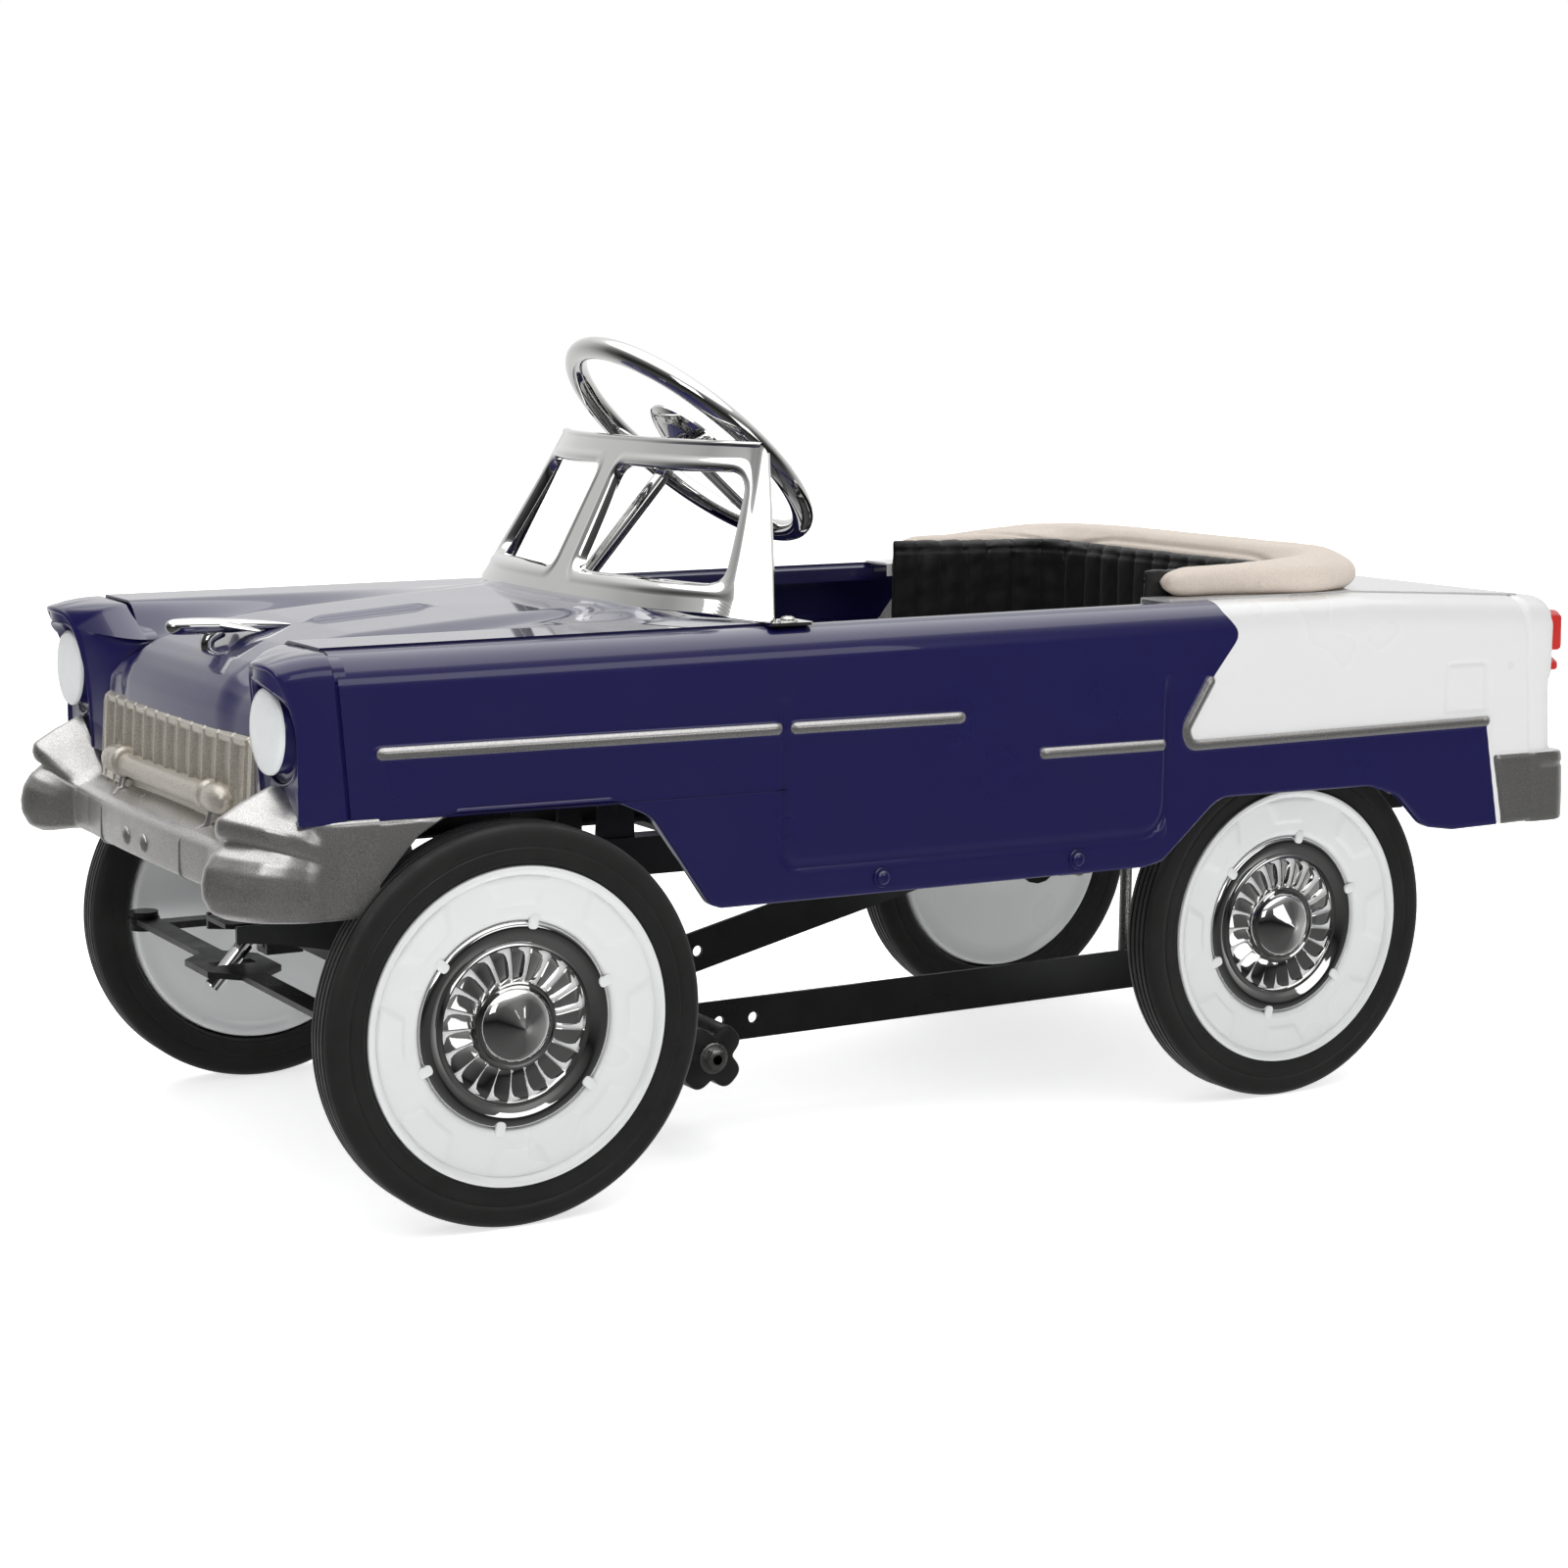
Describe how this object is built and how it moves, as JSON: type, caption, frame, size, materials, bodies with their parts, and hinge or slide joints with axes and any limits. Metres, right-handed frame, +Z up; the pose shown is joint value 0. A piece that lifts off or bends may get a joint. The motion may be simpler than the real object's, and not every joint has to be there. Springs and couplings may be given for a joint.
{
  "type": "pedal car",
  "caption": "Steel ride-on pedal car with a stamped body on a rail chassis, rod steering to the front wheels and a cranked rear axle driven by straps and pedals.",
  "frame": {"origin": "on the ground under the middle of the car's box", "axes": "-Y towards the nose, +X to the driver's left, +Z up"},
  "size_m": [0.48, 1.0679, 0.5468],
  "materials": {
    "body_enamel": "deep navy gloss enamel",
    "white_enamel": "off-white gloss enamel",
    "bumper_silver": "metallic flake silver paint",
    "grille_champagne": "champagne silver satin paint",
    "lamp_lens": "pale grey-white gloss disc",
    "tail_red": "red gloss lens",
    "chrome": "bright chrome plate",
    "zinc": "zinc plated steel",
    "chassis_black": "satin black powder coat",
    "black_vinyl": "black tuck-and-roll vinyl",
    "cream_vinyl": "cream padded vinyl",
    "nylon": "dark nylon bearing",
    "tyre_rubber": "satin black solid rubber",
    "wheel_white": "white gloss enamel",
    "pedal_rubber": "black moulded rubber"
  },
  "bodies": {
    "car": {"hood_panel": "body_enamel", "left_body_side": "body_enamel", "right_body_side": "body_enamel", "rear_deck": "white_enamel", "front_clip": "bumper_silver", "rear_clip": "white_enamel", "grille": "grille_champagne", "headlamps": "lamp_lens", "tail_lenses": "tail_red", "hood_ornament": "chrome", "windscreen_frame": "chrome", "windscreen_screws": "zinc", "body_bolts": "chassis_black", "seat_pan": "chassis_black", "seat_cushion": "black_vinyl", "cockpit_lining": "black_vinyl", "boot_cover": "cream_vinyl", "left_rail": "chassis_black", "right_rail": "chassis_black", "cross_members": "chassis_black", "front_axle_beam": "chassis_black", "front_struts": "chassis_black", "column_foot": "chassis_black", "column_bracket": "chassis_black", "axle_hangers": "chassis_black", "axle_bushes": "nylon", "hanger_rod": "zinc", "kingpins": "zinc"},
    "steering": {"steering_wheel": "chrome", "steering_column": "chrome", "steering_wheel_nut": "chrome"},
    "tie": {"tie_rod": "chassis_black"},
    "left_stub": {"left_knuckle": "chassis_black", "left_spindle_nut": "zinc"},
    "right_stub": {"right_knuckle": "chassis_black", "right_spindle_nut": "zinc"},
    "wheel_front_left": {"front_left_tyre": "tyre_rubber", "front_left_wheel": "wheel_white", "front_left_cap": "chrome"},
    "wheel_front_right": {"front_right_tyre": "tyre_rubber", "front_right_wheel": "wheel_white", "front_right_cap": "chrome"},
    "crank": {"crank_axle": "zinc", "rear_axle_nuts": "zinc", "rear_left_tyre": "tyre_rubber", "rear_left_wheel": "wheel_white", "rear_left_cap": "chrome"},
    "wheel_rear_right": {"rear_right_tyre": "tyre_rubber", "rear_right_wheel": "wheel_white", "rear_right_cap": "chrome"},
    "left_hanger": {"left_pedal_hanger": "chassis_black"},
    "right_hanger": {"right_pedal_hanger": "chassis_black"},
    "left_drive": {"left_strap": "chassis_black", "left_crank_bearing": "nylon", "left_pedal_bolt": "zinc"},
    "right_drive": {"right_strap": "chassis_black", "right_crank_bearing": "nylon", "right_pedal_bolt": "zinc"},
    "left_pedal_block": {"left_pedal": "pedal_rubber"},
    "right_pedal_block": {"right_pedal": "pedal_rubber"}
  },
  "joints": [
    {"name": "steering_turn", "type": "hinge", "parent": "car", "child": "steering", "pos_m": [0, -0.109, 0.475], "axis": [0, 0.6561, 0.7547], "range_deg": [-30, 30]},
    {"name": "tie_slide", "type": "slide", "parent": "car", "child": "tie", "axis": [1, 0, 0], "range_m": [-0.018, 0.018]},
    {"name": "left_stub_turn", "type": "hinge", "parent": "car", "child": "left_stub", "pos_m": [0.178, -0.352, 0.127], "axis": [0, 0, 1], "range_deg": [-10.5, 10.5]},
    {"name": "right_stub_turn", "type": "hinge", "parent": "car", "child": "right_stub", "pos_m": [-0.178, -0.352, 0.127], "axis": [0, 0, 1], "range_deg": [-10.5, 10.5]},
    {"name": "front_left_roll", "type": "hinge", "parent": "left_stub", "child": "wheel_front_left", "pos_m": [0.22, -0.352, 0.127], "axis": [1, 0, 0], "continuous": true},
    {"name": "front_right_roll", "type": "hinge", "parent": "right_stub", "child": "wheel_front_right", "pos_m": [-0.22, -0.352, 0.127], "axis": [1, 0, 0], "continuous": true},
    {"name": "crank_spin", "type": "hinge", "parent": "car", "child": "crank", "pos_m": [0, 0.286, 0.127], "axis": [1, 0, 0], "continuous": true},
    {"name": "rear_right_roll", "type": "hinge", "parent": "crank", "child": "wheel_rear_right", "pos_m": [-0.182, 0.286, 0.127], "axis": [1, 0, 0], "continuous": true},
    {"name": "left_hanger_swing", "type": "hinge", "parent": "car", "child": "left_hanger", "pos_m": [0.038, -0.221, 0.262], "axis": [1, 0, 0], "range_deg": [-16.5, 16.5]},
    {"name": "right_hanger_swing", "type": "hinge", "parent": "car", "child": "right_hanger", "pos_m": [-0.038, -0.221, 0.262], "axis": [1, 0, 0], "range_deg": [-16.5, 16.5]},
    {"name": "left_strap_pivot", "type": "hinge", "parent": "left_hanger", "child": "left_drive", "pos_m": [0.0415, -0.221, 0.064], "axis": [1, 0, 0], "range_deg": [-16.5, 16.5]},
    {"name": "right_strap_pivot", "type": "hinge", "parent": "right_hanger", "child": "right_drive", "pos_m": [-0.0415, -0.221, 0.064], "axis": [1, 0, 0], "range_deg": [-16.5, 16.5]},
    {"name": "left_pedal_turn", "type": "hinge", "parent": "left_drive", "child": "left_pedal_block", "pos_m": [0.09, -0.16, 0.0646], "axis": [1, 0, 0], "continuous": true},
    {"name": "right_pedal_turn", "type": "hinge", "parent": "right_drive", "child": "right_pedal_block", "pos_m": [-0.09, -0.16, 0.07856], "axis": [1, 0, 0], "continuous": true}
  ],
  "couplings": [
    {"joint": "tie_slide", "follows": "steering_turn", "m_per_rad": 0.0342},
    {"joint": "left_stub_turn", "follows": "steering_turn", "ratio": 0.347},
    {"joint": "right_stub_turn", "follows": "steering_turn", "ratio": 0.347},
    {"joint": "right_hanger_swing", "follows": "left_hanger_swing", "ratio": -1},
    {"joint": "left_strap_pivot", "follows": "left_hanger_swing", "ratio": -1},
    {"joint": "right_strap_pivot", "follows": "left_hanger_swing", "ratio": 1}
  ]
}
